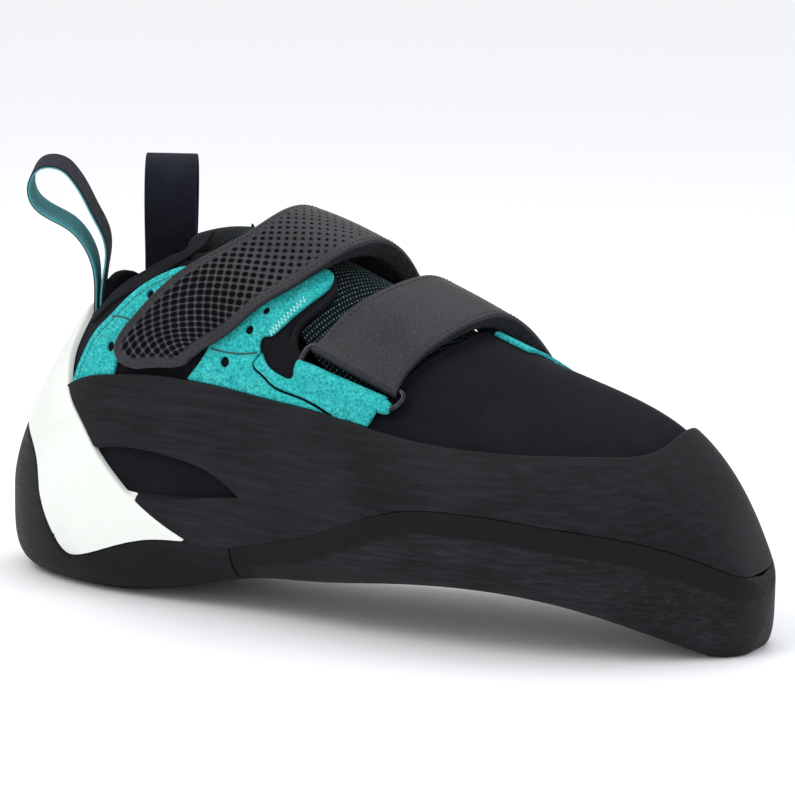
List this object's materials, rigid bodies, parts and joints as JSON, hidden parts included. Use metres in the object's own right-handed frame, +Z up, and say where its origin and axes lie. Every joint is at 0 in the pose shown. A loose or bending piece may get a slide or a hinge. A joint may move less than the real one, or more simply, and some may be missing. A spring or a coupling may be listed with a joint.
{
  "type": "climbing shoe",
  "caption": "Downturned climbing shoe for the right foot: hollow upper on a rubber sole, two opposed straps with rings, heel band and two pull loops.",
  "frame": {"origin": "on the floor under the middle of the shoe's bounding box", "axes": "+X from heel to toe, +Y to the inner (medial) side of the foot, +Z up from the floor"},
  "size_m": [0.2426, 0.0882, 0.1265],
  "materials": {
    "microfibre": "black microfibre suede",
    "sole_rubber": "matte black rubber, ground along its side",
    "cup_rubber": "smooth matte black rubber",
    "side_rubber": "matte black rubber with fine buffing lines",
    "pale_rubber": "smooth pale rubber",
    "suede": "teal suede with a short nap",
    "ring_wire": "black gloss",
    "tongue_mesh": "black and grey-teal mesh",
    "lining_mesh": "black padded mesh",
    "strap_leather": "dark grey synthetic leather, satin",
    "webbing": "navy ribbed webbing",
    "footbed": "dark grey microfibre"
  },
  "bodies": {
    "root": {"upper": "microfibre", "outsole": "sole_rubber", "heel_cup": "cup_rubber", "rand": "side_rubber", "tension_band": "pale_rubber", "quarter_rear_lateral": "suede", "quarter_front_lateral": "suede", "quarter_medial": "suede", "ring_tab_lateral": "suede", "ring_tab_medial": "suede", "strap_anchor": "suede", "ring_lateral": "ring_wire", "ring_medial": "ring_wire", "tongue": "tongue_mesh", "collar_lining": "lining_mesh", "ankle_strap": "strap_leather", "forefoot_strap": "strap_leather", "pull_loop_lateral": "webbing", "pull_loop_medial": "webbing", "insole": "footbed"}
  },
  "joints": []
}
